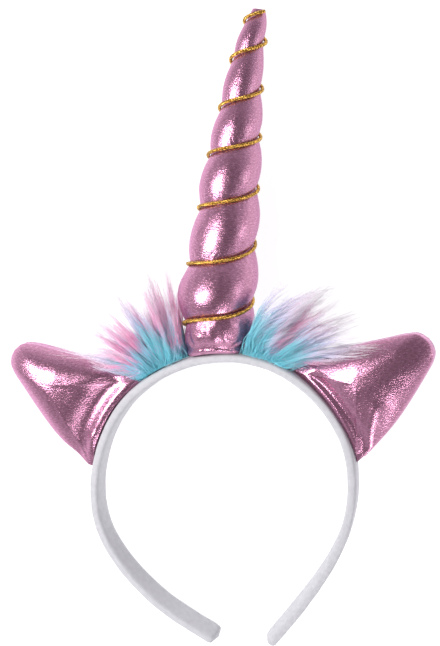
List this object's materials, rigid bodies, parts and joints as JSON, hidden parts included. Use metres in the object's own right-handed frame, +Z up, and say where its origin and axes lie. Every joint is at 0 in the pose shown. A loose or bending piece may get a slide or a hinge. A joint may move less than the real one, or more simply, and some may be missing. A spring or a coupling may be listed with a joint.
{
  "type": "unicorn horn headband",
  "caption": "Open hair band in pale cloth with a stuffed metallic pink horn wound in gold cord, two stuffed ears and tufts of long fur, lying on its back.",
  "frame": {"origin": "centre of the bottom of the box round the whole object as it lies on its back", "axes": "+Y from the band's open end to the horn's tip, +X to the right of someone who looks at its front, +Z up, out of its front"},
  "size_m": [0.2326, 0.3306, 0.0388],
  "materials": {
    "band_fabric": "soft pale lavender-grey satin-velvet cover",
    "metallic_pink_fabric": "metallic pink woven fabric, stuffed",
    "metallic_pink_ear": "metallic pink woven fabric, stuffed, with a seam round the edge",
    "gold_cord": "twisted metallic gold cord",
    "fur": "long-pile fur, turquoise at the root, lilac and pink further out, pale grey at the tips"
  },
  "bodies": {
    "root": {"headband": "band_fabric", "horn": "metallic_pink_fabric", "horn_cord": "gold_cord", "ear_left": "metallic_pink_ear", "ear_right": "metallic_pink_ear", "fur_tuft_left": "fur", "fur_tuft_right": "fur"}
  },
  "joints": []
}
